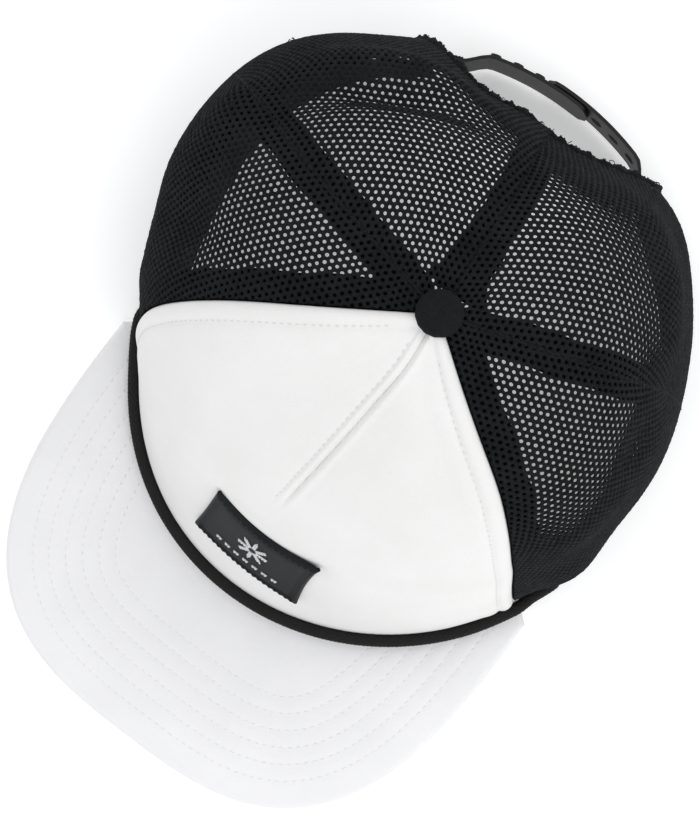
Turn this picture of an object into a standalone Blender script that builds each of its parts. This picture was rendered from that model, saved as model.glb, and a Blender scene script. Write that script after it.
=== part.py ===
"""A five-panel rope trucker cap: foam front, mesh sides and back, snap strap and flat visor.

Metres, +Z up. The visor points along -Y and +X is the wearer's left. The cap stands on its
sweatband at z = 0, and the origin is the middle of the bottom of its bounding box.
"""

import math

import bmesh
import bpy
from mathutils import Vector

# Crown: two half ellipses joined at the widest line, under a rounded profile.
CROWN_CENTRE = Vector((0.0043, 0.0465, 0.0))
CROWN_HEIGHT = 0.108
FRONT_LENGTH = 0.1205
BACK_LENGTH = 0.0834
HALF_WIDTH = 0.0929
TOP_SHIFT = Vector((0.0035, -0.0068, 0.0))
PROFILE_POWER = {"front": 1.83, "side": 3.14, "back": 2.15}
SWELL = {"front": -0.124, "side": 0.03, "back": -0.12}
BELLY_START = {"front": 0.0, "side": 0.16, "back": 0.18}
BELLY_POWER = {"front": 1.0, "side": 1.5, "back": 1.5}
SIDE_LEAN = -0.0056
BACK_SKEW = -0.0093
SKEW_START = -0.05
SKEW_LENGTH = 0.15

# Seams, as angles from the front about the crown's centre.
FRONT_SEAM = math.radians(54)
SIDE_SEAM = math.radians(102)
BACK_SEAM = math.radians(180)
SEAM_GAP = 0.0006
PANEL_TOP_RADIUS = 0.0045
HEM_HEIGHT = 0.001
FRONT_HEM_HEIGHT = 0.004
ROWS = 14

# Layers: how far each outer face stands out from the crown surface, and its thickness.
MESH_OUT, MESH_THICK = 0.0, 0.0008
PANEL_OUT, PANEL_THICK = 0.0008, 0.0014
FOAM_OUT, FOAM_THICK = -0.0011, 0.003
TAPE_OUT, TAPE_THICK = -0.0015, 0.0008
HEM_OUT, HEM_THICK = -0.0033, 0.0010
BAND_OUT, BAND_THICK = -0.0058, 0.0018
LABEL_OUT, LABEL_THICK = 0.0027, 0.0015
ANCHOR_OUT, ANCHOR_THICK = -0.0030, 0.0012

TAPE_WIDTH = 0.013
TAPE_TOP_RADIUS = 0.0230
HEM_TAPE_HEIGHT = 0.013
BAND_HEIGHT = 0.032
BAND_END = math.radians(146)
HEM_TAPE_END = math.radians(137)

# Arch opening at the back, above the strap.
ARCH_HALF_ANGLE = math.radians(30)
ARCH_HEIGHT = 0.053
ARCH_POWER = 2.3
BINDING_RADIUS = 0.0016
BINDING_GAP = 0.0011
BINDING_DEPTH = -0.0004

# Visor
VISOR_FRONT = 0.0594
VISOR_HALF_WIDTH = 0.088
VISOR_CENTRE = -0.0683
VISOR_POWER = 3.0
VISOR_RISE = 0.0142
VISOR_ROOT_GAP = 0.0014
UNDER_COVER_Z, UNDER_COVER_THICK = 0.0006, 0.0008
BOARD_Z, BOARD_THICK = 0.0018, 0.0018
TOP_COVER_Z, TOP_COVER_THICK = 0.0040, 0.0010
BOARD_INSET = 0.02
VISOR_COLUMNS = 28
VISOR_ROWS = 5

# Rope over the visor seam
ROPE_RADIUS = 0.0021
ROPE_OUT = 0.0034
ROPE_HEIGHT = 0.0080
ROPE_END = math.radians(58)
ROPE_POINTS = 33

# Front label
LABEL_HALF_ANGLE = math.radians(11.7)
LABEL_TURN = math.radians(0.9)
LABEL_BOTTOM = 0.0256
LABEL_TOP = 0.0533

# Top button, with heights above the crown surface at its centre
BUTTON_RADIUS = 0.0072
BUTTON_WALL = 0.0012
BUTTON_BASE = 0.0013
BUTTON_TOP = 0.0048
RIVET_HEAD_RADIUS = 0.0052
RIVET_HEAD_BASE = 0.0016
RIVET_HEAD_TOP = 0.0026
RIVET_RADIUS = 0.0014
RIVET_BOTTOM = -0.0072
WASHER_HOLE = 0.0018
WASHER_RADIUS = 0.0065
WASHER_TOP = -0.0052
WASHER_THICK = 0.0010
TURN_STEPS = 32

# Snap strap, with angles from the middle of the back, positive towards the wearer's left
STRAP_BOTTOM = 0.003
STRAP_TOP = 0.020
STRAP_THICK = 0.0012
STRAP_ROOT = math.radians(28)
PEG_STRAP_END = math.radians(5.6)
HOLE_STRAP_END = math.radians(6.6)
PEG_STRAP_OUT = 0.0013
HOLE_STRAP_OUT = 0.0030
ROOT_BLEND = math.radians(8)
END_ROUNDING = math.radians(3.4)
END_SHARE = 0.35
PEG_PITCH = math.radians(5.57)
FIRST_PEG = math.radians(2.3)
FIRST_HOLE = FIRST_PEG - PEG_PITCH
PEG_COUNT = 5
HOLE_COUNT = 5
PEG_RADIUS = 0.0019
PEG_HEIGHT = 0.0028
HOLE_RADIUS = 0.0024
ANCHOR_START = math.radians(28.7)
ANCHOR_END = math.radians(40)
STRAP_COLUMNS = 20

BLACK_MESH = (0.013, 0.015, 0.016, 1.0)
BLACK_FABRIC = (0.011, 0.013, 0.013, 1.0)
WHITE_FABRIC = (0.86, 0.86, 0.85, 1.0)
WHITE_FOAM = (0.80, 0.80, 0.78, 1.0)
STRAP_PLASTIC = (0.019, 0.017, 0.015, 1.0)
STEEL = (0.55, 0.55, 0.54, 1.0)
BOARD_PLASTIC = (0.55, 0.56, 0.57, 1.0)


def clear_scene():
    for obj in list(bpy.data.objects):
        bpy.data.objects.remove(obj, do_unlink=True)


def new_collection(name):
    collection = bpy.data.collections.new(name)
    bpy.context.scene.collection.children.link(collection)
    return collection


def material(name, colour, roughness, metallic=0.0):
    made = bpy.data.materials.new(name)
    made.use_nodes = True
    shader = made.node_tree.nodes["Principled BSDF"]
    shader.inputs["Base Color"].default_value = colour
    shader.inputs["Roughness"].default_value = roughness
    shader.inputs["Metallic"].default_value = metallic
    return made


def blend(phi, values):
    """A value that turns from front to side to back round the crown."""
    share = math.cos(phi) ** 2
    end = values["front"] if math.cos(phi) > 0 else values["back"]
    return values["side"] + (end - values["side"]) * share


def base_radius(phi):
    length = FRONT_LENGTH if math.cos(phi) > 0 else BACK_LENGTH
    return 1 / math.hypot(math.cos(phi) / length, math.sin(phi) / HALF_WIDTH)


def smooth(x):
    x = min(max(x, 0.0), 1.0)
    return x * x * (3 - 2 * x)


def crown_point(phi, fall):
    """The crown surface: fall runs from 0 at the top to 1 at the lower edge."""
    power = blend(phi, PROFILE_POWER)
    turn = min(max(fall, 0.0), 1.0) * math.pi / 2
    out = math.sin(turn) ** (2 / power)
    up = max(math.cos(turn), 0.0) ** (2 / power)
    start = blend(phi, BELLY_START)
    share = max((up - start) / (1 - start), 0.0)
    belly = max(math.sin(math.pi * share), 0.0) ** blend(phi, BELLY_POWER)
    reach = base_radius(phi) * out * (1 + blend(phi, SWELL) * belly * out)
    x = reach * math.sin(phi) + (1 - out) * TOP_SHIFT.x
    y = -reach * math.cos(phi) + (1 - out) * TOP_SHIFT.y
    x += SIDE_LEAN * belly + BACK_SKEW * smooth((y - SKEW_START) / SKEW_LENGTH)
    return Vector((x, y, CROWN_HEIGHT * up)) + CROWN_CENTRE


def crown_normal(phi, fall):
    step = 1e-3
    low, high = max(fall - step, 1e-4), min(fall + step, 1.0)
    down = crown_point(phi, high) - crown_point(phi, low)
    round_it = crown_point(phi + step, fall) - crown_point(phi - step, fall)
    return down.cross(round_it).normalized()


def crown_offset(phi, fall, out):
    return crown_point(phi, fall) + crown_normal(phi, fall) * out


def fall_at_height(phi, z):
    up = min(max(z / CROWN_HEIGHT, 0.0), 1.0)
    return math.acos(up ** (blend(phi, PROFILE_POWER) / 2)) * 2 / math.pi


def fall_at_radius(phi, radius):
    """The fall at which the surface is this far out from the crown's top."""
    power = blend(phi, PROFILE_POWER)
    return math.asin((radius / base_radius(phi)) ** (power / 2)) * 2 / math.pi


def at_height(phi, z, out):
    """A point at this height, offset outwards; below the crown it goes straight down."""
    point = crown_offset(phi, fall_at_height(phi, max(z, 0.0)), out)
    if z < 0:
        point.z = z
    return point


def level_out(phi):
    """The direction straight out of the base oval at this angle."""
    step = 1e-3
    ahead = crown_point(phi + step, 1.0) - crown_point(phi - step, 1.0)
    return Vector((ahead.y, -ahead.x, 0.0)).normalized()


def base_at(phi, z, out):
    """A point at this height on a wall that stands straight up from the base oval."""
    point = crown_point(phi, 1.0) + level_out(phi) * out
    point.z = z
    return point


def finish(name, mesh, look, collection):
    obj = bpy.data.objects.new(name, mesh)
    collection.objects.link(obj)
    obj.data.materials.append(look)
    mesh.shade_smooth()
    mesh.set_sharp_from_angle(angle=math.radians(40))
    return obj


def warped_grid(name, columns, rows, place, look, collection):
    """A grid primitive whose points are moved to place(across, up), each from 0 to 1."""
    shape = bmesh.new()
    bmesh.ops.create_grid(shape, x_segments=columns, y_segments=rows, size=0.5)
    for vertex in shape.verts:
        vertex.co = place(vertex.co.x + 0.5, vertex.co.y + 0.5)
    mesh = bpy.data.meshes.new(name)
    shape.to_mesh(mesh)
    shape.free()
    return finish(name, mesh, look, collection)


def solidify(obj, thickness, offset=-1.0):
    shell = obj.modifiers.new("Thickness", "SOLIDIFY")
    shell.thickness = thickness
    shell.offset = offset
    shell.use_even_offset = True
    return obj


def boolean(obj, tool, operation):
    cut = obj.modifiers.new(tool.name, "BOOLEAN")
    cut.operation = operation
    cut.object = tool
    cut.solver = "EXACT"


def hide_tool(tool):
    tool.hide_render = True
    tool.display_type = "WIRE"


def crown_panel(name, start, end, columns, layer, look, collection, hem=HEM_HEIGHT):
    """A panel between two seams, from the hem to the top button."""
    outer, thickness = layer

    def place(across, up):
        phi = start + (end - start) * across
        reach = base_radius(phi)
        top = fall_at_radius(phi, PANEL_TOP_RADIUS)
        low = fall_at_height(phi, hem)
        fall = low + (top - low) * up
        out_here = math.sin(fall * math.pi / 2) * reach
        inset = SEAM_GAP / 2 / max(out_here, PANEL_TOP_RADIUS)
        phi = start + inset + (end - start - 2 * inset) * across
        return crown_offset(phi, fall, outer)

    panel = warped_grid(name, columns, ROWS, place, look, collection)
    return solidify(panel, thickness)


def seam_tape(name, seam, shift, look, collection):
    """A flat tape under a seam. shift is -1, 0 or 1 to lie before, across or after it."""

    def place(across, up):
        top = fall_at_radius(seam, TAPE_TOP_RADIUS)
        low = fall_at_height(seam, HEM_TAPE_HEIGHT / 4)
        fall = low + (top - low) * up
        centre = crown_point(seam, fall) - CROWN_CENTRE
        reach = math.hypot(centre.x, centre.y)
        beside = TAPE_WIDTH * (across - 0.5) + shift * (TAPE_WIDTH / 2 + SEAM_GAP)
        return crown_offset(seam + beside / reach, fall, TAPE_OUT)

    return solidify(warped_grid(name, 2, ROWS, place, look, collection), TAPE_THICK)


def back_tape(look, collection):
    """The tape under the centre back seam, which stops above the arch."""

    def place(across, up):
        top = fall_at_radius(BACK_SEAM, TAPE_TOP_RADIUS)
        low = fall_at_height(BACK_SEAM, ARCH_HEIGHT + 3 * BINDING_RADIUS)
        fall = low + (top - low) * up
        centre = crown_point(BACK_SEAM, fall) - CROWN_CENTRE
        beside = TAPE_WIDTH * (across - 0.5)
        return crown_offset(BACK_SEAM + beside / abs(centre.y), fall, TAPE_OUT)

    tape = warped_grid("seam_tape_back", 2, ROWS, place, look, collection)
    return solidify(tape, TAPE_THICK)


def ring_strip(name, start, end, columns, bottom, top, layer, look, collection):
    """A strip round the lower edge between two angles and two heights."""
    outer, thickness = layer

    def place(across, up):
        phi = start + (end - start) * across
        return at_height(phi, bottom + (top - bottom) * up, outer)

    return solidify(warped_grid(name, columns, 4, place, look, collection), thickness)


def arch_height(beside, half_angle, height):
    """The height of the arch's edge at an angle from the middle of the back."""
    share = min(abs(beside) / half_angle, 1.0)
    return height * (1 - share**ARCH_POWER) ** (1 / ARCH_POWER)


def arch_cutter(look, collection):
    """A plug with the shape of the opening, a little larger so that the binding fits."""
    grow = BINDING_RADIUS + BINDING_GAP
    half_angle = ARCH_HALF_ANGLE + grow / BACK_LENGTH
    height = ARCH_HEIGHT + grow
    below = -0.01

    def place(across, up):
        turn = (across - 0.5) * math.pi
        beside = half_angle * math.sin(turn)
        top = max(arch_height(beside, half_angle, height), 0.0)
        return at_height(math.pi + beside, below + (top - below) * up, 0.006)

    plug = warped_grid("arch_cutter", 24, 6, place, look, collection)
    solidify(plug, 0.014)
    hide_tool(plug)
    return plug


def tube(name, points, radius, look, collection):
    """A closed tube along a list of points."""
    curve = bpy.data.curves.new(name, "CURVE")
    curve.dimensions = "3D"
    curve.bevel_depth = radius
    curve.bevel_resolution = 2
    curve.use_fill_caps = True
    line = curve.splines.new("POLY")
    line.points.add(len(points) - 1)
    for knot, place in zip(line.points, points):
        knot.co = (*place, 1.0)
    obj = bpy.data.objects.new(name, curve)
    collection.objects.link(obj)
    curve.materials.append(look)
    return obj


def arch_binding(look, collection):
    """The folded strip round the edge of the arch."""
    points = []
    steps = 30
    for i in range(steps + 1):
        turn = (i / steps - 0.5) * math.pi
        beside = ARCH_HALF_ANGLE * math.sin(turn)
        z = arch_height(beside, ARCH_HALF_ANGLE, ARCH_HEIGHT)
        points.append(at_height(math.pi - beside, max(z, HEM_HEIGHT), BINDING_DEPTH))
    return tube("arch_binding", points, BINDING_RADIUS, look, collection)


def front_rope(look, collection):
    """The rope that lies in the crease between the front panel and the visor."""
    points = []
    for i in range(ROPE_POINTS):
        phi = ROPE_END * (2 * i / (ROPE_POINTS - 1) - 1)
        points.append(at_height(phi, ROPE_HEIGHT, ROPE_OUT))
    return tube("front_rope", points, ROPE_RADIUS, look, collection)


def front_label(look, collection):
    def place(across, up):
        phi = LABEL_TURN + LABEL_HALF_ANGLE * (2 * across - 1)
        return at_height(phi, LABEL_BOTTOM + (LABEL_TOP - LABEL_BOTTOM) * up, LABEL_OUT)

    label = warped_grid("front_label", 8, 3, place, look, collection)
    return solidify(label, LABEL_THICK)


def visor_point(across, forward, inset):
    """A point of the visor's plan: across from -1 to 1, forward 0 at the crown, 1 at the edge."""
    root = base_at(across * FRONT_SEAM, 0.0, VISOR_ROOT_GAP)
    turn = across * math.pi / 2
    reach = FRONT_LENGTH + VISOR_FRONT + VISOR_CENTRE
    side = math.copysign(abs(math.sin(turn)) ** (2 / VISOR_POWER), turn)
    ahead = max(math.cos(turn), 0.0) ** (2 / VISOR_POWER)
    edge = Vector((VISOR_HALF_WIDTH * side, VISOR_CENTRE - reach * ahead, 0.0)) + CROWN_CENTRE
    return root.lerp(edge, inset / 2 + forward * (1 - inset))


def visor_layer(name, z, thickness, inset, look, collection):
    """One layer of the visor, arched from side to side towards its edge."""

    def place(across, forward):
        side = 2 * across - 1
        point = visor_point(side, 1 - forward, inset)
        point.z = z + VISOR_RISE * (1 - side * side) * smooth(1 - forward)
        return point

    layer = warped_grid(name, VISOR_COLUMNS, VISOR_ROWS, place, look, collection)
    return solidify(layer, thickness, offset=1.0)


def turned(name, profile, look, collection):
    """A profile of (radius, height) pairs turned round the axis of the button."""
    mesh = bpy.data.meshes.new(name)
    count = len(profile)
    closed = profile[0][0] > 0
    edges = [(i, i + 1) for i in range(count - 1)]
    if closed:
        edges.append((count - 1, 0))
    mesh.from_pydata([(radius, 0.0, height) for radius, height in profile], edges, [])
    obj = finish(name, mesh, look, collection)
    obj.location = crown_point(0.0, 0.0)
    screw = obj.modifiers.new("Turn", "SCREW")
    screw.steps = TURN_STEPS
    screw.render_steps = TURN_STEPS
    screw.use_merge_vertices = True
    screw.merge_threshold = 1e-5
    screw.use_smooth_shade = True
    return obj


def top_button(fabric, metal, collection):
    """The covered button, its rivet through the crown and the washer inside."""
    wall = BUTTON_WALL
    height = BUTTON_TOP - BUTTON_BASE
    dome = []
    for step in range(7):
        turn = step / 6 * math.pi / 2
        dome.append((BUTTON_RADIUS * math.sin(turn), BUTTON_BASE + height * math.cos(turn) ** 0.8))
    inner = [(BUTTON_RADIUS - wall, BUTTON_BASE), (BUTTON_RADIUS - wall, BUTTON_TOP - 1.6 * wall)]
    inner.append((0.0, BUTTON_TOP - wall))
    turned("button_cover", dome + inner, fabric, collection)
    rivet = [
        (0.0, RIVET_HEAD_TOP),
        (RIVET_HEAD_RADIUS, RIVET_HEAD_TOP),
        (RIVET_HEAD_RADIUS, RIVET_HEAD_BASE),
        (RIVET_RADIUS, RIVET_HEAD_BASE),
        (RIVET_RADIUS, RIVET_BOTTOM),
        (0.0, RIVET_BOTTOM),
    ]
    turned("button_rivet", rivet, metal, collection)
    washer = [
        (WASHER_HOLE, WASHER_TOP),
        (WASHER_RADIUS, WASHER_TOP),
        (WASHER_RADIUS, WASHER_TOP - WASHER_THICK),
        (WASHER_HOLE, WASHER_TOP - WASHER_THICK),
    ]
    turned("button_washer", washer, metal, collection)


def strap_out(beside, run_out):
    """How far out the strap's face is: in at its sewn root, then out over the opening."""
    share = smooth((STRAP_ROOT - abs(beside)) / ROOT_BLEND)
    return ANCHOR_OUT + (run_out - ANCHOR_OUT) * share


def strap_half(name, root, end, run_out, look, collection):
    """One half of the strap, from its root to its rounded end, with its origin on its hinge."""
    pivot = hinge_place(root)
    middle = (STRAP_TOP + STRAP_BOTTOM) / 2
    half = (STRAP_TOP - STRAP_BOTTOM) / 2
    low_end, high_end = min(root, end), max(root, end)

    def place(across, up):
        beside = high_end + (low_end - high_end) * across
        from_end = min(abs(beside - end) / END_ROUNDING, 1.0)
        share = END_SHARE + (1 - END_SHARE) * math.sqrt(1 - (1 - from_end) ** 2)
        z = middle + half * share * (2 * up - 1)
        out = run_out if beside * root < 0 else strap_out(beside, run_out)
        return base_at(math.pi - beside, z, out) - pivot

    strap = warped_grid(name, STRAP_COLUMNS, 2, place, look, collection)
    strap.location = pivot
    return solidify(strap, STRAP_THICK)


def hinge_place(root):
    """The middle of a strap half's root, at mid height: its hinge runs through it along Z."""
    middle = (STRAP_TOP + STRAP_BOTTOM) / 2
    return base_at(math.pi - root, middle, ANCHOR_OUT - ANCHOR_THICK / 2)


def peg_cylinder(name, beside, radius, start, length, look, collection, sides):
    """A cylinder that points straight out of the strap, from start to start + length."""
    phi = math.pi - beside
    middle = (STRAP_TOP + STRAP_BOTTOM) / 2
    shape = bmesh.new()
    bmesh.ops.create_cone(
        shape, cap_ends=True, segments=sides, radius1=radius, radius2=radius, depth=length
    )
    mesh = bpy.data.meshes.new(name)
    shape.to_mesh(mesh)
    shape.free()
    obj = finish(name, mesh, look, collection)
    obj.location = base_at(phi, middle, start + length / 2)
    obj.rotation_mode = "QUATERNION"
    obj.rotation_quaternion = level_out(phi).to_track_quat("Z", "Y")
    hide_tool(obj)
    return obj


def snap_strap(look, parts, tools):
    """The two halves of the strap: pegs on the wearer's right, holes on the wearer's left."""
    pegs = strap_half("strap_peg_half", -STRAP_ROOT, PEG_STRAP_END, PEG_STRAP_OUT, look, parts)
    for i in range(PEG_COUNT):
        start = PEG_STRAP_OUT - STRAP_THICK / 2
        beside = FIRST_PEG - i * PEG_PITCH
        peg = peg_cylinder(f"peg_{i}", beside, PEG_RADIUS, start, PEG_HEIGHT, look, tools, 12)
        boolean(pegs, peg, "UNION")
    holes = strap_half("strap_hole_half", STRAP_ROOT, -HOLE_STRAP_END, HOLE_STRAP_OUT, look, parts)
    for i in range(HOLE_COUNT):
        start = HOLE_STRAP_OUT - 3 * STRAP_THICK
        beside = FIRST_HOLE + i * PEG_PITCH
        length = 6 * STRAP_THICK
        hole = peg_cylinder(f"hole_{i}", beside, HOLE_RADIUS, start, length, look, tools, 16)
        boolean(holes, hole, "DIFFERENCE")


def strap_anchor(name, side, look, collection):
    """The sewn end of a strap half, between the mesh and the sweatband."""

    def place(across, up):
        beside = ANCHOR_START + (ANCHOR_END - ANCHOR_START) * across
        phi = math.pi - side * beside
        z = STRAP_BOTTOM + (STRAP_TOP - STRAP_BOTTOM) * up
        return base_at(phi, z, ANCHOR_OUT)

    anchor = warped_grid(name, 4, 1, place, look, collection)
    if side > 0:
        anchor.data.flip_normals()
    return solidify(anchor, ANCHOR_THICK)


def table_cutter(look, collection):
    """A block below z = 0, which leaves the sweatband a flat lower edge."""
    shape = bmesh.new()
    bmesh.ops.create_cube(shape, size=1.0)
    mesh = bpy.data.meshes.new("table_cutter")
    shape.to_mesh(mesh)
    shape.free()
    block = finish("table_cutter", mesh, look, collection)
    block.location = (0.0, 0.0, -0.5)
    hide_tool(block)
    return block


def main():
    clear_scene()
    parts = new_collection("rope_trucker_cap")
    tools = new_collection("cutters")

    mesh_black = material("black_mesh", BLACK_MESH, 0.75)
    fabric_black = material("black_fabric", BLACK_FABRIC, 0.85)
    panel_white = material("white_jersey", WHITE_FABRIC, 0.9)
    foam_white = material("white_foam", WHITE_FOAM, 0.95)
    visor_white = material("white_visor_cloth", WHITE_FABRIC, 0.9)
    board_look = material("visor_plastic", BOARD_PLASTIC, 0.5)
    strap_look = material("strap_plastic", STRAP_PLASTIC, 0.35)
    steel = material("button_steel", STEEL, 0.35, 1.0)

    front_layer = (PANEL_OUT, PANEL_THICK)
    foam_layer = (FOAM_OUT, FOAM_THICK)
    mesh_layer = (MESH_OUT, MESH_THICK)
    for name, layer, look in (
        ("front_panel", front_layer, panel_white),
        ("front_foam", foam_layer, foam_white),
    ):
        crown_panel(name, -FRONT_SEAM, FRONT_SEAM, 20, layer, look, parts, FRONT_HEM_HEIGHT)
    crown_panel("side_mesh_right", -SIDE_SEAM, -FRONT_SEAM, 9, mesh_layer, mesh_black, parts)
    crown_panel("side_mesh_left", FRONT_SEAM, SIDE_SEAM, 9, mesh_layer, mesh_black, parts)
    right = crown_panel(
        "back_mesh_right", -BACK_SEAM, -SIDE_SEAM, 11, mesh_layer, mesh_black, parts
    )
    left = crown_panel("back_mesh_left", SIDE_SEAM, BACK_SEAM, 11, mesh_layer, mesh_black, parts)
    arch = arch_cutter(mesh_black, tools)
    boolean(right, arch, "DIFFERENCE")
    boolean(left, arch, "DIFFERENCE")

    seam_tape("seam_tape_front_right", -FRONT_SEAM, -1, fabric_black, parts)
    seam_tape("seam_tape_front_left", FRONT_SEAM, 1, fabric_black, parts)
    seam_tape("seam_tape_side_right", -SIDE_SEAM, 0, fabric_black, parts)
    seam_tape("seam_tape_side_left", SIDE_SEAM, 0, fabric_black, parts)
    back_tape(fabric_black, parts)

    hem_layer = (HEM_OUT, HEM_THICK)
    hem_low = HEM_HEIGHT / 2
    hem_start = FRONT_SEAM + SEAM_GAP / BACK_LENGTH
    for name, start, end in (
        ("hem_tape_right", -HEM_TAPE_END, -hem_start),
        ("hem_tape_left", hem_start, HEM_TAPE_END),
    ):
        ring_strip(name, start, end, 14, hem_low, HEM_TAPE_HEIGHT, hem_layer, fabric_black, parts)
    band_layer = (BAND_OUT, BAND_THICK)
    band = ring_strip(
        "sweatband", -BAND_END, BAND_END, 48, -0.003, BAND_HEIGHT, band_layer, fabric_black, parts
    )
    boolean(band, table_cutter(fabric_black, tools), "DIFFERENCE")

    arch_binding(fabric_black, parts)
    front_rope(fabric_black, parts)
    front_label(fabric_black, parts)

    visor_layer("visor_under_cover", UNDER_COVER_Z, UNDER_COVER_THICK, 0.0, visor_white, parts)
    visor_layer("visor_board", BOARD_Z, BOARD_THICK, BOARD_INSET, board_look, parts)
    visor_layer("visor_top_cover", TOP_COVER_Z, TOP_COVER_THICK, 0.0, visor_white, parts)

    top_button(fabric_black, steel, parts)
    snap_strap(strap_look, parts, tools)
    strap_anchor("strap_anchor_right", -1, strap_look, parts)
    strap_anchor("strap_anchor_left", 1, strap_look, parts)


main()
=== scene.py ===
"""The look of a five-panel rope trucker cap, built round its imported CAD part.

Metres, +Z up. The visor points along -Y and +X is the wearer's left.
"""

import math

import bpy
import numpy as np
from mathutils import Matrix, Vector
from mathutils.bvhtree import BVHTree


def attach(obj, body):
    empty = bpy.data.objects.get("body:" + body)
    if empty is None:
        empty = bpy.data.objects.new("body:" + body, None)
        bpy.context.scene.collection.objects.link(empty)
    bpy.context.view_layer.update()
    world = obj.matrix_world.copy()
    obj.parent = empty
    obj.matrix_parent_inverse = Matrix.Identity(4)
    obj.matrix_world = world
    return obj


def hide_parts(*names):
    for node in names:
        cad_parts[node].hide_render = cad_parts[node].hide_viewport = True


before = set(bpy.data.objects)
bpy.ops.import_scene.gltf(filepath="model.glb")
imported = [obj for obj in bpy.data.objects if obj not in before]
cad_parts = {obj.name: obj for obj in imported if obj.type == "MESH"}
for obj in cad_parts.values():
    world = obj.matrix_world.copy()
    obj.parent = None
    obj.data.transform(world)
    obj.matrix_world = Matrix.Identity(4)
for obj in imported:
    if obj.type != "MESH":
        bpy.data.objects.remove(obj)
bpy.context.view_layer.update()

SEED = 7

# The crown surface, as in the CAD part.
CROWN_CENTRE = np.array((0.0043, 0.0465, 0.0))
CROWN_HEIGHT = 0.108
FRONT_LENGTH = 0.1205
BACK_LENGTH = 0.0834
HALF_WIDTH = 0.0929
TOP_SHIFT = (0.0035, -0.0068)
PROFILE_POWER = {"front": 1.83, "side": 3.14, "back": 2.15}
SWELL = {"front": -0.124, "side": 0.03, "back": -0.12}
BELLY_START = {"front": 0.0, "side": 0.16, "back": 0.18}
BELLY_POWER = {"front": 1.0, "side": 1.5, "back": 1.5}
SIDE_LEAN = -0.0056
BACK_SKEW = -0.0093
SKEW_START = -0.05
SKEW_LENGTH = 0.15
FRONT_SEAM = math.radians(54)
FRONT_HEM_HEIGHT = 0.004
PANEL_TOP_RADIUS = 0.0045

# Dents and bulges of the mesh: how far out, at which angle, its half width, at which fall, its half height.
# Those of the back are measured from 0 to 2 pi, and those of the sides from -pi to pi.
BACK_FOLDS = (
    (-0.0048, 3.92, 0.42, 0.425, 0.045),
    (0.0036, 3.88, 0.42, 0.54, 0.06),
    (-0.0012, math.pi, 0.4, 0.55, 0.16),
    (0.0030, 2.22, 0.38, 0.63, 0.10),
)
SIDE_FOLDS = (
    (-0.0054, -1.17, 0.17, 0.57, 0.13),
    (0.0036, -1.68, 0.18, 0.55, 0.08),
    (-0.0026, 1.56, 0.14, 0.58, 0.09),
    (0.0026, 1.15, 0.15, 0.68, 0.10),
)
BACK_BULGES = (
    (0.0018, 3.70, 0.18, 0.82, 0.16),
    (-0.0020, 3.40, 0.17, 0.66, 0.20),
)
SIDE_BULGES = (
    (0.0030, -1.38, 0.24, 0.68, 0.2),
    (0.0043, 1.12, 0.14, 0.90, 0.12),
    (-0.0046, 1.82, 0.22, 0.72, 0.24),
    (0.0058, 2.49, 0.25, 0.78, 0.22),
    (0.0030, -1.02, 0.12, 0.93, 0.10),
)

# The back opening, as a superellipse.
ARCH_CENTRE = math.radians(184.7)
ARCH_HALF_ANGLE = math.radians(34)
ARCH_HEIGHT = 0.0596
ARCH_POWER = 2.6

VISOR_FRONT = 0.0594
VISOR_HALF_WIDTH = 0.088
VISOR_CENTRE = -0.0683
VISOR_POWER = 3.0
VISOR_RISE = 0.0142
VISOR_ROOT_GAP = 0.0014
VISOR_TOP_Z = 0.0050
VISOR_LOW_Z = 0.0006
VISOR_MIDDLE_Z = (VISOR_LOW_Z + VISOR_TOP_Z) / 2
STITCH_ROWS = 6
FIRST_ROW = 0.0095
ROW_STEP = 0.0055

STRAP_BOTTOM = 0.003
STRAP_TOP = 0.020
STRAP_ROOT = math.radians(28.4)
STRAP_FOLD_HALF = math.radians(1.3)
STRAP_FOLD_OUT = (-0.0022, -0.0038)

ROPE_RADIUS = 0.0021
ROPE_OUT = 0.0032
ROPE_HEIGHT = 0.0080
ROPE_END = math.radians(58)

LABEL_SIDES = (math.radians(-10.8), math.radians(12.0))
LABEL_LEAN = math.radians(3.2)
LABEL_BOTTOM = (0.0267, 0.0216)
LABEL_HEIGHT = 0.0309

MESH_PITCH = 0.0023
HOLE_SHARE = 0.248
MESH_CREST = 0.00025
MESH_BACK = -0.00085

LOWEST_FALL = 0.995
HOLE_CORNERS = 12
HOLE_STRETCH = (0.94, 1.06)

HEM_ENDS = (math.radians(139.5), math.radians(148.5))
BAND_END = math.radians(146)
TAPE_WIDTH = 0.0128
TAPE_OUT = -0.0013
TAPE_TOP_RADIUS = 0.0052

# Stitches: pitch, length and width.
TOPSTITCH = (0.0024, 0.0015, 0.00036)
VISOR_STITCH = (0.0029, 0.0018, 0.00036)
RIM_STITCH = (0.0022, 0.0016, 0.00036)
MOTIF_STITCH = (0.0011, 0.0013, 0.0005)

# Tufts of loose thread: angle, height, length and curl.
THREAD_TUFTS = (
    (2.62, 0.034, 0.0050, 1.3),
    (2.64, 0.031, 0.0042, 0.9),
    (2.60, 0.037, 0.0036, 0.6),
    (1.03, 0.012, 0.0032, 0.8),
    (1.06, 0.010, 0.0028, 0.5),
    (-2.02, 0.058, 0.0026, 0.6),
    (-2.72, 0.050, 0.0028, 0.7),
)
THREAD_RINGS = 14
THREAD_SIDES = 6

CAMERA_PLACE = (0.01826, 0.00649, 0.58778)
CAMERA_LENS = 71.75
CAMERA_RIGHT = (0.743, 0.669, 0.0)
CAMERA_TURNS = (("Z", -0.08734), ("X", 0.00722), ("Y", 0.03223))
LIGHTS_AIM = Vector((0, 0, 0.05))

UV_SCALE = 10


# ---- surfaces


def smooth(x):
    x = np.clip(x, 0.0, 1.0)
    return x * x * (3 - 2 * x)


def signed_power(x, power):
    return np.sign(x) * np.abs(x) ** power


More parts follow.
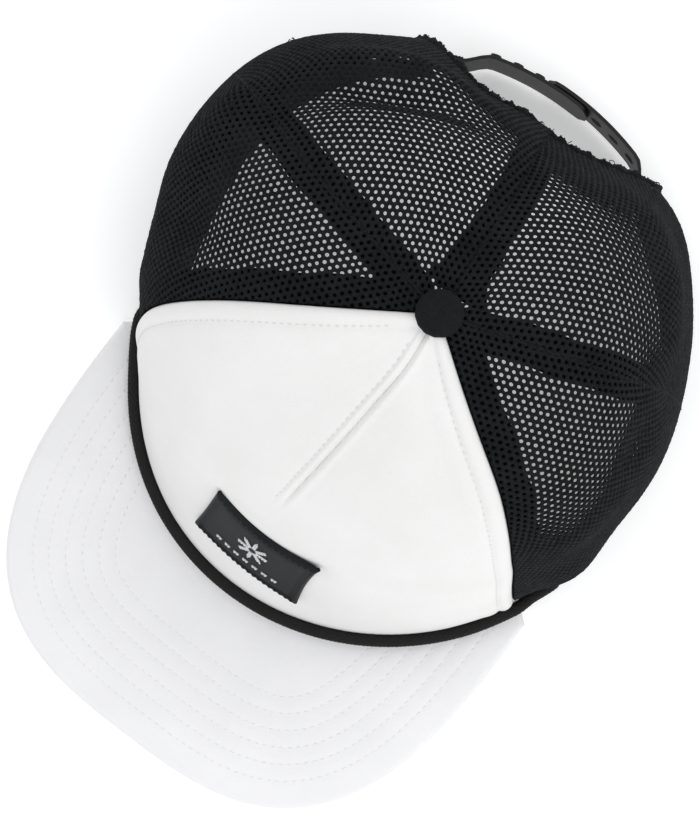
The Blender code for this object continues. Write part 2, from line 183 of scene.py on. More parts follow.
def bell(x, width):
    return np.exp(-((x / width) ** 2))


def blend(phi, values):
    share = np.cos(phi) ** 2
    end = np.where(np.cos(phi) > 0, values["front"], values["back"])
    return values["side"] + (end - values["side"]) * share


def base_radius(phi):
    length = np.where(np.cos(phi) > 0, FRONT_LENGTH, BACK_LENGTH)
    return 1 / np.hypot(np.cos(phi) / length, np.sin(phi) / HALF_WIDTH)


def crown_point(phi, fall):
    """The crown surface: phi from the front towards the wearer's left, fall 0 at the top to 1."""
    power = blend(phi, PROFILE_POWER)
    turn = np.clip(fall, 0.0, 1.0) * math.pi / 2
    out = np.sin(turn) ** (2 / power)
    up = np.maximum(np.cos(turn), 0.0) ** (2 / power)
    start = blend(phi, BELLY_START)
    share = np.maximum((up - start) / (1 - start), 0.0)
    belly = np.maximum(np.sin(math.pi * share), 0.0) ** blend(phi, BELLY_POWER)
    reach = base_radius(phi) * out * (1 + blend(phi, SWELL) * belly * out)
    x = reach * np.sin(phi) + (1 - out) * TOP_SHIFT[0]
    y = -reach * np.cos(phi) + (1 - out) * TOP_SHIFT[1]
    x = x + SIDE_LEAN * belly + BACK_SKEW * smooth((y - SKEW_START) / SKEW_LENGTH)
    return np.stack((x, y, CROWN_HEIGHT * up), -1) + CROWN_CENTRE


def unit(v):
    return v / np.maximum(np.linalg.norm(v, axis=-1, keepdims=True), 1e-12)


def way_round(phi, fall):
    """The way round the crown at a place, in metres for each radian."""
    step = 1e-3
    return (crown_point(phi + step, fall) - crown_point(phi - step, fall)) / (2 * step)


def crown_normal(phi, fall):
    step = 1e-3
    low = np.maximum(fall - step, 1e-4)
    high = np.minimum(fall + step, 1.0)
    down = crown_point(phi, high) - crown_point(phi, low)
    return unit(np.cross(down, way_round(phi, fall)))


def crown_offset(phi, fall, out):
    phi, fall, out = np.broadcast_arrays(phi, fall, out)
    return crown_point(phi, fall) + crown_normal(phi, fall) * out[..., None]


def fall_at_height(phi, z):
    up = np.clip(z / CROWN_HEIGHT, 0.0, 1.0)
    return np.arccos(up ** (blend(phi, PROFILE_POWER) / 2)) * 2 / math.pi


def fall_at_radius(phi, radius):
    power = blend(phi, PROFILE_POWER)
    return np.arcsin((radius / base_radius(phi)) ** (power / 2)) * 2 / math.pi


def height_at(phi, fall):
    return CROWN_HEIGHT * np.maximum(np.cos(fall * math.pi / 2), 0) ** (2 / blend(phi, PROFILE_POWER))


def reach_at(phi, fall):
    return np.linalg.norm(way_round(phi, fall), axis=-1)


def dents(angle, fall, rows):
    """The sum of a table of dents."""
    total = 0.0
    for out, at, width, level, tall in rows:
        total = total + out * bell(angle - at, width) * bell(fall - level, tall)
    return total


def slump(phi, fall):
    """Soft waves, folds and bulges of the unsupported mesh, as an offset outwards."""
    calm = smooth((np.abs(phi) - FRONT_SEAM) / 0.35) * smooth(fall / 0.3) * smooth((1 - fall) / 0.3)
    wall = smooth((1 - fall) / 0.07) * smooth((np.abs(phi) - 0.85) / 0.2)
    turn = phi % (2 * math.pi)
    waves = 0.0009 * np.sin(4.6 * phi + 5.0 * fall + 0.6) + 0.0007 * np.sin(9.0 * fall - 3.1 * phi)
    folds = dents(turn, fall, BACK_FOLDS) + dents(phi, fall, SIDE_FOLDS)
    bulges = dents(turn, fall, BACK_BULGES) + dents(phi, fall, SIDE_BULGES)
    return calm * (waves + folds) + wall * bulges


def on_mesh(phi, fall, out):
    return crown_offset(phi, fall, out + slump(phi, fall))


# Each seam's angle wanders a little on its way down the soft crown.


def front_seam_right(fall):
    return -np.radians(53.8 - 5.2 * smooth((fall - 0.25) / 0.7) - 1.0 * smooth((fall - 0.84) / 0.16))


def front_seam_left(fall):
    return np.radians(50.9 + 3.0 * smooth(fall / 0.35) - 2.8 * smooth((fall - 0.7) / 0.3))


def side_seam_right(fall):
    return -np.radians(97.3 + 4.5 * smooth(fall / 0.7))


def side_seam_left(fall):
    return np.radians(102.5 + 2.0 * fall)


def back_seam(fall):
    return np.radians(177 - 3.5 * smooth(fall / 0.7))


def back_seam_right(fall):
    """The same seam, seen from the wearer's right."""
    return back_seam(fall) - 2 * math.pi


def at_height(phi, z, out):
    phi, z, out = np.broadcast_arrays(phi, z, out)
    point = crown_offset(phi, fall_at_height(phi, np.maximum(z, 0.0)), out)
    point[..., 2] = np.where(z < 0, z, point[..., 2])
    return point


def wall_plan(phi, out):
    """Places on the plan that stand out from the crown's lower edge."""
    down = 1.0 + 0 * phi
    ahead = way_round(phi, down)
    level = unit(np.stack((ahead[..., 1], -ahead[..., 0], 0 * phi), -1))
    return (crown_point(phi, down) + level * np.asarray(out)[..., None])[..., :2]


def arch_height(beside):
    share = np.minimum(np.abs(beside) / ARCH_HALF_ANGLE, 1.0)
    return ARCH_HEIGHT * (1 - share**ARCH_POWER) ** (1 / ARCH_POWER)


# ---- meshes


def link(obj):
    """Adds an object to the scene."""
    bpy.context.scene.collection.objects.link(obj)
    return obj


def mesh_object(name, points, faces, uv=None, look=None):
    """An object from points and faces, with one (u, v) for each point."""
    faces = faces.tolist() if isinstance(faces, np.ndarray) else faces
    mesh = bpy.data.meshes.new(name)
    mesh.from_pydata(np.asarray(points).reshape(-1, 3).tolist(), [], faces)
    if uv is not None:
        layer = mesh.uv_layers.new(name="UVMap")
        corners = np.empty(len(mesh.loops), np.int32)
        mesh.loops.foreach_get("vertex_index", corners)
        layer.data.foreach_set("uv", np.asarray(uv, np.float32).reshape(-1, 2)[corners].ravel())
    mesh.shade_smooth()
    if look:
        mesh.materials.append(look)
    return link(bpy.data.objects.new(name, mesh))


def unit_grid(columns, rows):
    return np.meshgrid(np.linspace(0, 1, columns + 1), np.linspace(0, 1, rows + 1))


def lengths_along(line):
    """Metres along a line of points, from its start."""
    return np.concatenate(((0,), np.linalg.norm(np.diff(line, axis=0), axis=-1).cumsum()))


def grid_faces(columns, rows, wrap=False):
    across = columns if wrap else columns + 1
    j, i = np.meshgrid(np.arange(rows), np.arange(columns), indexing="ij")
    here, beside = j * across + i, j * across + (i + 1) % across
    return np.stack((here, beside, beside + across, here + across), -1).reshape(-1, 4)


def end_caps(sides, rings):
    """The two end faces of a tube of points."""
    return [list(range(sides))[::-1], [(rings - 1) * sides + i for i in range(sides)]]


def place_piece(obj, nodes=(), body="crown"):
    """Hands a piece to the frame: its body and the CAD nodes it replaces."""
    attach(obj, body)
    if nodes:
        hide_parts(*nodes)
    return obj


def grid_piece(name, place, columns, rows, look, thickness=0.0):
    """A sheet whose points are place(across, up), each an array from 0 to 1, thickened inwards."""
    across, up = unit_grid(columns, rows)
    points = place(across, up)
    steps_x = np.linalg.norm(np.diff(points, axis=1), axis=-1).mean(0).cumsum()
    steps_y = np.linalg.norm(np.diff(points, axis=0), axis=-1).mean(1).cumsum()
    u, v = np.meshgrid(np.concatenate(((0,), steps_x)), np.concatenate(((0,), steps_y)))
    obj = mesh_object(name, points, grid_faces(columns, rows), np.stack((u, v), -1) * UV_SCALE, look)
    if thickness:
        shell = obj.modifiers.new("Thickness", "SOLIDIFY")
        shell.thickness = thickness
        shell.offset = -1.0
        shell.use_even_offset = False
    return obj


def tube_piece(name, line, radius, sides, look, relief, normals=None):
    """A tube along a line of points. relief(s, turn) adds height; s is metres along the line."""
    ahead = unit(np.gradient(line, axis=0))
    up = np.broadcast_to((0.0, 0.0, 1.0), line.shape) if normals is None else normals
    side = unit(np.cross(ahead, up))
    up = np.cross(side, ahead)
    turn = np.linspace(0, 2 * math.pi, sides, endpoint=False)
    s, angle = np.meshgrid(lengths_along(line), turn, indexing="ij")
    size = np.reshape(radius, (-1, 1)) + relief(s, angle)
    points = (
        line[:, None]
        + side[:, None] * (size * np.cos(angle))[..., None]
        + up[:, None] * (size * np.sin(angle))[..., None]
    )
    faces = grid_faces(sides, len(line) - 1, wrap=True).tolist() + end_caps(sides, len(line))
    return mesh_object(name, points, faces, np.stack((s * UV_SCALE, angle / (2 * math.pi)), -1), look)


def values_along(values, s, places):
    """What a line of values comes to at some distances along it."""
    return np.stack([np.interp(places, s, values[:, k]) for k in range(3)], -1)


def stitch_piece(name, lines, look, stitch, lift=0.0001):
    """Rows of thread stitches. Each line is (points, normals), and a stitch's ends sink into the cloth."""
    pitch, length, width = stitch
    rng = np.random.default_rng(SEED)
    rings, sides = 5, 6
    along = np.repeat(np.linspace(-0.5, 0.5, rings), sides)
    turn = np.tile(np.linspace(0, 2 * math.pi, sides, endpoint=False), rings)
    radius = np.sqrt(np.maximum(1 - (2 * along) ** 4, 0.02)) * width / 2
    rise = lift * (1 - 8 * along**2)
    points = []
    for line, normals in lines:
        s = lengths_along(line)
        centres = np.arange(pitch / 2, s[-1], pitch)
        centres = centres + rng.normal(0, pitch * 0.025, len(centres))
        normal = unit(values_along(normals, s, centres))
        forward = unit(values_along(line, s, centres + 1e-4) - values_along(line, s, centres - 1e-4))
        side = unit(np.cross(normal, forward))
        forward = unit(forward + side * rng.normal(0, 0.05, len(centres))[:, None])
        shape = (
            values_along(line, s, centres)[:, None]
            + forward[:, None] * (along * length)[:, None]
            + side[:, None] * (radius * np.cos(turn))[:, None]
            + normal[:, None] * (radius * np.sin(turn) + rise)[:, None]
        )
        points.append(shape.reshape(-1, 3))
    points = np.concatenate(points)
    tube = grid_faces(sides, rings - 1, wrap=True).tolist() + end_caps(sides, rings)
    firsts = range(0, len(points), rings * sides)
    faces = [[first + corner for corner in face] for first in firsts for face in tube]
    return mesh_object(name, points, faces, None, look)


# ---- materials


class Look:
    """A node material with short helpers. A value is a number, a tuple or another node's socket."""

    def __init__(self, name):
        self.made = bpy.data.materials.new(name)
        self.made.use_nodes = True
        self.nodes = self.made.node_tree.nodes
        self.coords = self.nodes.new("ShaderNodeTexCoord").outputs

    def fill(self, node, values):
        for key, value in values.items():
            if isinstance(value, bpy.types.NodeSocket):
                self.made.node_tree.links.new(value, node.inputs[key])
            else:
                node.inputs[key].default_value = value

    def node(self, kind, values):
        node = self.nodes.new("ShaderNode" + kind)
        self.fill(node, values)
        return node

    def set(self, **values):
        """Fills the shader's inputs, named with underscores for spaces, and gives the material."""
        shader = self.nodes["Principled BSDF"]
        self.fill(shader, {key.replace("_", " "): value for key, value in values.items()})
        return self.made

    def math(self, operation, a, b):
        node = self.node("Math", {0: a, 1: b})
        node.operation = operation
        return node.outputs[0]

    def mix(self, a, b, share):
        """A share of the first value and the rest of the second."""
        return self.math("ADD", self.math("MULTIPLY", a, share), self.math("MULTIPLY", b, 1 - share))

    def noise(self, scale, detail, rough=0.5, stretch=None):
        vector = self.coords["Object"]
        if stretch:
            vector = self.node("Mapping", {"Vector": vector, "Scale": stretch}).outputs[0]
        values = {"Vector": vector, "Scale": scale, "Detail": detail, "Roughness": rough}
        return self.node("TexNoise", values).outputs["Fac"]

    def wave(self, scale, direction, space="UV", distortion=0.0):
        values = {"Vector": self.coords[space], "Scale": scale, "Distortion": distortion, "Detail": 1.0}
        node = self.node("TexWave", values)
        node.bands_direction = direction
        return node.outputs["Fac"]

    def colour(self, value, low, high, span=(0.0, 1.0)):
        """Goes from the low colour to the high one as the value crosses its span."""
        share = self.node("MapRange", {"Value": value, "From Min": span[0], "From Max": span[1]})
        blend = self.node("Mix", {0: share.outputs[0], 6: (*low, 1.0), 7: (*high, 1.0)})
        blend.data_type = "RGBA"
        self.set(Base_Color=blend.outputs[2])

    def rough(self, value, low, high):
        share = self.node("MapRange", {"Value": value, "To Min": low, "To Max": high})
        self.set(Roughness=share.outputs[0])

    def bump(self, *layers):
        """Each layer is (height, strength, distance)."""
        normal = {}
        for height, strength, distance in layers:
            values = {"Height": height, "Strength": strength, "Distance": distance}
            normal = {"Normal": self.node("Bump", values | normal).outputs["Normal"]}
        self.set(**normal)


def knit_look(name, low, high):
    """Smooth white jersey: fine wales, faint mottling and soft fuzz."""
    look = Look(name)
    fine = look.noise(1600, 2)
    broad = look.noise(45, 3)
    loops = look.math("MULTIPLY", look.wave(380, "X"), look.wave(300, "Y", distortion=1.0))
    look.colour(look.mix(broad, fine, 0.6), low, high, (0.32, 0.68))
    look.rough(broad, 0.82, 0.95)
    look.bump((loops, 0.25, 0.00010), (fine, 0.35, 0.00012), (broad, 0.3, 0.0006))
    return look.set(Sheen_Weight=0.03, Sheen_Roughness=0.5)


def black_cloth_look(name, low, high, fuzz=0.00022, ribs=None):
    """Matt black cloth with a short nap, and woven ribs where ribs gives their scale."""
    look = Look(name)
    fine = look.noise(1500, 3, 0.65)
    broad = look.noise(90, 3)
    look.colour(look.mix(fine, broad, 0.65), low, high, (0.33, 0.70))
    look.rough(broad, 0.74, 0.95)
    layers = [(fine, 0.8, fuzz), (broad, 0.35, 0.0005)]
    if ribs:
        layers.insert(0, (look.wave(ribs, "Y", distortion=0.6), 0.6, 0.00018))
        layers.insert(0, (look.wave(ribs * 1.3, "X", distortion=0.6), 0.4, 0.00012))
    look.bump(*layers)
    return look.set(Sheen_Weight=0.02, Sheen_Roughness=0.4, Specular_IOR_Level=0.12)


def mesh_look():
    """Texturised black polyester yarn: fluffy filaments, a little blue-grey."""
    look = Look("mesh_yarn")
    fine = look.noise(1900, 4, 0.7)
    hair = look.noise(700, 2, 0.6, stretch=(1, 1, 2.2))
    tone = look.mix(fine, look.noise(70, 2), 0.7)
    look.colour(tone, (0.0026, 0.0032, 0.0037), (0.0185, 0.0212, 0.0228), (0.34, 0.70))
    look.rough(hair, 0.62, 0.95)
    look.bump((fine, 1.0, 0.00035), (hair, 0.7, 0.0004))
    return look.set(Sheen_Weight=0.02, Sheen_Roughness=0.35, Specular_IOR_Level=0.14)


def plastic_look(name, low, high, rough):
    """Moulded plastic with light scuffs."""
    look = Look(name)
    fine = look.noise(900, 3, 0.6)
    scuff = look.noise(240, 2, 0.6, stretch=(1, 1, 7))
    look.colour(look.noise(55, 3), low, high, (0.3, 0.7))
    look.rough(scuff, *rough)
    look.bump((fine, 0.25, 0.00008), (scuff, 0.15, 0.00006))
    return look.set(Specular_IOR_Level=0.35)


def rope_look():
    """Glossy black braid."""
    look = Look("rope_braid")
    fine = look.noise(1800, 3, 0.7)
    strands = look.wave(900, "X", "Object", 3.0)
    look.colour(look.mix(fine, strands, 0.6), (0.004, 0.004, 0.0037), (0.017, 0.0165, 0.0155), (0.3, 0.7))
    look.rough(fine, 0.5, 0.8)
    look.bump((strands, 0.6, 0.00012), (fine, 0.8, 0.00015))
    return look.set(Sheen_Weight=0.03, Sheen_Roughness=0.3, Specular_IOR_Level=0.2)


def thread_look(name, low, high):
    """Twisted sewing thread."""
    look = Look(name)
    twist = look.wave(1400, "DIAGONAL", "Object", 1.0)
    look.colour(twist, low, high)
    look.rough(twist, 0.45, 0.7)
    look.bump((twist, 0.5, 0.00006))
    return look.set(Sheen_Weight=0.03, Specular_IOR_Level=0.2)


def label_look():
    """Dense black woven patch with a satin face."""
    look = Look("label_weave")
    weave = look.math("MULTIPLY", look.wave(260, "Y", distortion=0.3), look.wave(230, "X", distortion=0.3))
    fine = look.noise(1500, 3, 0.6)
    tone = look.mix(weave, look.noise(80, 2), 0.5)
    look.colour(tone, (0.0045, 0.0056, 0.0064), (0.0135, 0.0160, 0.0178), (0.2, 0.7))
    look.rough(fine, 0.45, 0.68)
    look.bump((weave, 0.6, 0.00012), (fine, 0.4, 0.00008))
    return look.set(Sheen_Weight=0.025, Sheen_Roughness=0.3, Specular_IOR_Level=0.22)


def steel_look():
    """Stamped steel, brushed."""
    look = Look("stamped_steel")
    brush = look.noise(600, 3, 0.6, stretch=(1, 8, 1))
    look.colour(look.noise(160, 3), (0.40, 0.40, 0.39), (0.62, 0.62, 0.60), (0.3, 0.7))
    look.rough(brush, 0.25, 0.48)
    look.bump((brush, 0.25, 0.00005))
    return look.set(Metallic=1.0)


def foam_look():
    """Open-celled white foam."""
    look = Look("foam_lining")
    cells = look.node("TexVoronoi", {"Vector": look.coords["Object"], "Scale": 1100})
    broad = look.noise(60, 3)
    look.colour(broad, (0.70, 0.70, 0.67), (0.84, 0.84, 0.82), (0.3, 0.7))
    look.rough(broad, 0.88, 1.0)
    look.bump((cells.outputs["Distance"], 0.7, 0.0003), (broad, 0.3, 0.0006))
    return look.set(Sheen_Weight=0.1)


WHITE_JERSEY = knit_look("white_jersey", (0.870, 0.860, 0.845), (0.928, 0.919, 0.908))
VISOR_CLOTH = knit_look("visor_cloth", (0.90, 0.893, 0.90), (0.95, 0.943, 0.95))
MESH_YARN = mesh_look()
TAPE_CLOTH = black_cloth_look("woven_tape", (0.003, 0.0036, 0.004), (0.013, 0.0152, 0.0162), ribs=150)
BAND_CLOTH = black_cloth_look("brushed_band", (0.006, 0.007, 0.008), (0.024, 0.026, 0.028), ribs=90)
BUTTON_CLOTH = black_cloth_look("button_cloth", (0.0055, 0.0063, 0.0072), (0.0135, 0.015, 0.0168), 0.00012)
ROPE_BRAID = rope_look()
WHITE_THREAD = thread_look("white_thread", (0.83, 0.83, 0.82), (0.94, 0.94, 0.93))
GREY_THREAD = thread_look("grey_thread", (0.70, 0.70, 0.69), (0.86, 0.86, 0.85))
BLACK_THREAD = thread_look("black_thread", (0.008, 0.009, 0.010), (0.030, 0.033, 0.036))
PALE_THREAD = thread_look("pale_thread", (0.62, 0.64, 0.65), (0.82, 0.84, 0.85))
LABEL_WEAVE = label_look()
FOAM_LINING = foam_look()
STRAP_PLASTIC = plastic_look("strap_plastic", (0.005, 0.0048, 0.0041), (0.011, 0.0104, 0.009), (0.42, 0.58))
BOARD_PLASTIC = plastic_look("board_plastic", (0.48, 0.49, 0.50), (0.60, 0.61, 0.62), (0.4, 0.6))
STEEL = steel_look()


# ---- camera, light and floor


def camera():
    data = bpy.data.cameras.new("camera")
    data.sensor_width = 36.0
    data.lens = CAMERA_LENS
    data.clip_start = 0.01
    eye = link(bpy.data.objects.new("camera", data))
    right = Vector(CAMERA_RIGHT).normalized()
    upright = Matrix((right, Vector((0, 0, 1)).cross(right), (0, 0, 1))).transposed()
    for axis, angle in CAMERA_TURNS:
        upright = upright @ Matrix.Rotation(angle, 3, axis)
    eye.matrix_world = Matrix.Translation(CAMERA_PLACE) @ upright.to_4x4()
    bpy.context.scene.camera = eye


def lights():
    world = bpy.data.worlds.new("studio")
    world.use_nodes = True
    sky = world.node_tree.nodes["Background"].inputs
    sky["Color"].default_value = (0.97, 0.985, 1.0, 1.0)
    sky["Strength"].default_value = 0.69
    bpy.context.scene.world = world
    for name, place, size, power in (
        ("key", (0.75, -0.55, 1.15), 1.0, 5.8),
        ("fill", (-0.95, 0.25, 1.15), 1.2, 2.4),
        ("back", (0.45, 0.95, 0.95), 0.9, 2.7),
    ):
        data = bpy.data.lights.new(name, "AREA")
        data.size = size
        data.energy = power
        light = link(bpy.data.objects.new(name, data))
        light.location = place
        light.rotation_mode = "QUATERNION"
        light.rotation_quaternion = (LIGHTS_AIM - Vector(place)).to_track_quat("-Z", "Y")


def floor():
    look = Look("pale_floor")
    look.colour(look.noise(3, 2), (0.90, 0.90, 0.90), (0.93, 0.93, 0.93))
    paint = look.set(Roughness=0.9, Emission_Color=(1, 1, 1, 1), Emission_Strength=0.30)
    corners = [(x, y, -0.0002) for x, y in ((-4, -4), (4, -4), (4, 4), (-4, 4))]
    mesh_object("floor", corners, [[0, 1, 2, 3]], None, paint)
    bpy.context.scene.view_settings.view_transform = "Standard"


# ---- mesh panels


def flatten(points, turns=1400):
    """Lays a curved grid of points out flat, keeping its lengths as well as cloth would."""
    rows, columns = points.shape[:2]
    middle = columns // 2
    v = lengths_along(points[:, middle])
    u = np.concatenate((np.zeros((rows, 1)), np.linalg.norm(np.diff(points, axis=1), axis=-1).cumsum(1)), 1)
    flat = np.stack((u - u[:, middle : middle + 1], v[:, None] + 0 * u), -1).reshape(-1, 2)
    index = np.arange(rows * columns).reshape(rows, columns)
    pairs = (
        (index[:, :-1], index[:, 1:]),
        (index[:-1], index[1:]),
        (index[:-1, :-1], index[1:, 1:]),
        (index[:-1, 1:], index[1:, :-1]),
    )
    near, far = (np.concatenate([pair[end].ravel() for pair in pairs]) for end in (0, 1))
    full = points.reshape(-1, 3)
    rest = np.linalg.norm(full[near] - full[far], axis=1)
    degree = np.bincount(np.concatenate((near, far)), minlength=len(flat))[:, None]
    speed = np.zeros_like(flat)
    for _ in range(turns):
        span = flat[far] - flat[near]
        size = np.maximum(np.linalg.norm(span, axis=1), 1e-9)
        push = span * ((size - rest) / size)[:, None] * 0.5
        move = np.zeros_like(flat)
        np.add.at(move, near, push)
        np.add.at(move, far, -push)
        speed = speed * 0.9 + move / degree
        flat = flat + speed
    return flat.reshape(rows, columns, 2)


def push_out_of_arch(phi, fall):
    """Moves places inside the back arch onto its edge, with each one's share of the way out to it."""
    beside = ARCH_CENTRE - phi % (2 * math.pi)
    z = height_at(phi, fall)
    share = (np.abs(beside) / ARCH_HALF_ANGLE) ** ARCH_POWER + (z / ARCH_HEIGHT) ** ARCH_POWER
    inside = share < 1
    grow = np.where(inside, np.maximum(share, 1e-3) ** (-1 / ARCH_POWER), 1.0)
    phi = np.where(inside, phi + beside * (1 - grow), phi)
    return phi, np.where(inside, fall_at_height(phi, z * grow), fall), share


def coarse_grid(start, end, columns=24, rows=30):
    """Angles and falls of a coarse grid over one mesh panel, from its hem to its top."""
    across, up = unit_grid(columns, rows)
    top = fall_at_radius(start(0.0) + (end(0.0) - start(0.0)) * across, PANEL_TOP_RADIUS)
    fall = LOWEST_FALL + (top - LOWEST_FALL) * up
    first, last = start(fall), end(fall)
    inset = 0.0002 / np.maximum(reach_at((first + last) / 2, fall), 0.004)
    return first + inset + (last - first - 2 * inset) * across, fall


def flat_pattern(phi, fall):
    """The corners of a panel laid flat, and a function from flat places back to the crown."""
    flat = flatten(on_mesh(phi, fall, 0.0)).reshape(-1, 2)
    quads = grid_faces(phi.shape[1] - 1, phi.shape[0] - 1)
    tree = BVHTree.FromPolygons([(x, y, 0.0) for x, y in flat], quads.tolist())
    knots = np.stack((phi, fall), -1).reshape(-1, 2)

    def lookup(places):
        """Rows of angles, falls and distances off the panel."""
        found = np.empty((len(places), 3))
        for k, (x, y) in enumerate(places):
            hit, _, face, found[k, 2] = tree.find_nearest((x, y, 0.0))
            found[k, :2] = inside_quad(hit.x, hit.y, flat[quads[face]], knots[quads[face]])
        return found.T

    return flat, lookup


def lattice(flat):
    """The middles of a honeycomb of holes that covers a flat pattern."""
    row_pitch = MESH_PITCH * math.sqrt(3) / 2
    left, low = flat.min(0)
    right, high = flat.max(0)
    cells = []
    for j in range(int((high - low) / row_pitch) + 3):
        for i in range(int((right - left) / MESH_PITCH) + 3):
            cells.append((left + (i - 1 + 0.5 * (j % 2)) * MESH_PITCH, low + (j - 1) * row_pitch))
    return np.array(cells)


def cell_outlines(cells, rng):
    """The corners that cells share, which of them each cell has, and the rims of the holes."""
    number = np.arange(HOLE_CORNERS)
    turn = number * 2 * math.pi / HOLE_CORNERS + math.pi / 2
    way = np.stack((np.cos(turn), np.sin(turn)), -1)
    corner = way * np.where(number % 2 == 0, MESH_PITCH / math.sqrt(3), MESH_PITCH / 2)[:, None]
    hole = way * HOLE_STRETCH * (HOLE_SHARE * MESH_PITCH * np.where(number % 2 == 0, 1.06, 0.97))[:, None]
    jitter = rng.normal(0, MESH_PITCH * 0.022, (len(cells), 1, 2))
    size = 1 + rng.normal(0, 0.05, (len(cells), 1, 1))
    outer = (cells[:, None] + corner).reshape(-1, 2)
    keys = np.round(outer / (MESH_PITCH * 0.02))
    _, first, shared = np.unique(keys, axis=0, return_index=True, return_inverse=True)
    rims = (cells[:, None] + jitter + hole * size).reshape(-1, 2)
    return outer[first], shared.reshape(-1, HOLE_CORNERS), rims


def cell_faces(outer, count, total):
    """The faces round each hole, in front and behind, and the wall through it."""
    rim = count + np.arange(outer.size).reshape(outer.shape)
    next_outer, next_rim = np.roll(outer, -1, 1), np.roll(rim, -1, 1)
    front = np.stack((outer, next_outer, next_rim, rim), -1).reshape(-1, 4)
    wall = np.stack((rim, next_rim, next_rim + total, rim + total), -1).reshape(-1, 4)
    return np.concatenate((front, front[:, ::-1] + total, wall))


def mesh_panel(name, start, end, arch):
    """One panel of open mesh: a lattice of rounded holes cut flat, then laid on the crown."""
    flat, lookup = flat_pattern(*coarse_grid(start, end))
    cells = lattice(flat)
    phi, fall, away = lookup(cells)
    keep = away < 0.4 * MESH_PITCH
    if arch:
        keep &= push_out_of_arch(phi, fall)[2] > 0.94
    rng = np.random.default_rng(SEED)
    outer, shared, rims = cell_outlines(cells[keep], rng)
    places = np.concatenate((outer, rims))
    phi, fall, _ = lookup(places)
    if arch:
        phi, fall, _ = push_out_of_arch(phi, fall)
    crest = np.arange(len(places)) < len(outer)
    wobble = rng.normal(0, 0.00006, len(places))
    front = on_mesh(phi, fall, np.where(crest, MESH_CREST, MESH_CREST - 0.00042) + wobble)
    rear = on_mesh(phi, fall, np.where(crest, MESH_BACK, MESH_BACK + 0.00035))
    faces = cell_faces(shared, len(outer), len(places))
    uv = np.concatenate((places, places)) * UV_SCALE
    return mesh_object(name, np.concatenate((front, rear)), faces, uv, MESH_YARN)


def inside_quad(x, y, corners, values):
    """The value at (x, y) inside a flat quad, from the values at its four corners."""
    best = None
    for tri in ((0, 1, 2), (0, 2, 3)):
        a, b, c = corners[tri[0]], corners[tri[1]], corners[tri[2]]
        area = (b[0] - a[0]) * (c[1] - a[1]) - (c[0] - a[0]) * (b[1] - a[1])
        if abs(area) < 1e-14:
            continue
        v = ((x - a[0]) * (c[1] - a[1]) - (c[0] - a[0]) * (y - a[1])) / area
        w = ((b[0] - a[0]) * (y - a[1]) - (x - a[0]) * (b[1] - a[1])) / area
        u = 1 - v - w
        spill = -min(u, v, w, 0)
        if best is None or spill < best[0]:
            best = (spill, values[tri[0]] * u + values[tri[1]] * v + values[tri[2]] * w)
    return best[1]


def mesh_panels():
    for name, start, end, arch in (
        ("side_mesh_right", side_seam_right, front_seam_right, False),
        ("side_mesh_left", front_seam_left, side_seam_left, False),
        ("back_mesh_right", back_seam_right, side_seam_right, True),
        ("back_mesh_left", side_seam_left, back_seam, True),
    ):
        place_piece(mesh_panel("open_" + name, start, end, arch), (name,))


# ---- tapes and bands


def seam_tapes():
    for name, seam, shift in (
        ("seam_tape_front_right", front_seam_right, -1),
        ("seam_tape_front_left", front_seam_left, 1),
        ("seam_tape_side_right", side_seam_right, 0),
        ("seam_tape_side_left", side_seam_left, 0),
        ("seam_tape_back", back_seam, 0),
    ):
        low_height = ARCH_HEIGHT + 0.002 if seam == back_seam else 0.003

        def place(across, up):
            top = fall_at_radius(seam(0.0), TAPE_TOP_RADIUS)
            low = fall_at_height(seam(1.0), low_height)
            fall = low + (top - low) * up
            beside = TAPE_WIDTH * (across - 0.5) + shift * (TAPE_WIDTH / 2 - 0.0034)
            beside = beside + 0.0003 * np.sin(up * 37 + shift * 3)
            phi = seam(fall) + beside / np.maximum(reach_at(seam(fall), fall), 0.0062)
            return on_mesh(phi, fall, TAPE_OUT)

        place_piece(grid_piece("woven_" + name, place, 12, 120, TAPE_CLOTH, 0.0007), (name,))


def hem_tapes():
    for name, start, end in (
        ("hem_tape_right", -HEM_ENDS[0], -FRONT_SEAM - 0.007),
        ("hem_tape_left", FRONT_SEAM + 0.007, HEM_ENDS[1]),
    ):

        def place(across, up):
            return at_height(start + (end - start) * across, 0.0006 + 0.0125 * up, -0.0032)

        place_piece(grid_piece("woven_" + name, place, 150, 10, TAPE_CLOTH, 0.0009), (name,))


def sweatband():
    def place(across, up):
        phi = (2 * across - 1) * BAND_END
        turn = 2 * math.pi * up
        z = 0.0161 - 0.0158 * signed_power(np.cos(turn), 0.4)
        puff = 0.0010 + 0.00025 * np.sin(phi * 53 + 2 * np.sin(phi * 9)) * bell(z - 0.027, 0.004)
        puff = puff - 0.0005 * bell(z - 0.0265, 0.0007)
        out = -0.0068 + puff * signed_power(np.sin(turn), 0.5)
        point = at_height(phi, z, out)
        point[..., 2] = np.maximum(point[..., 2], 0.0002)
        return point

    band = grid_piece("padded_sweatband", place, 400, 48, BAND_CLOTH)
    place_piece(band, ("sweatband",))


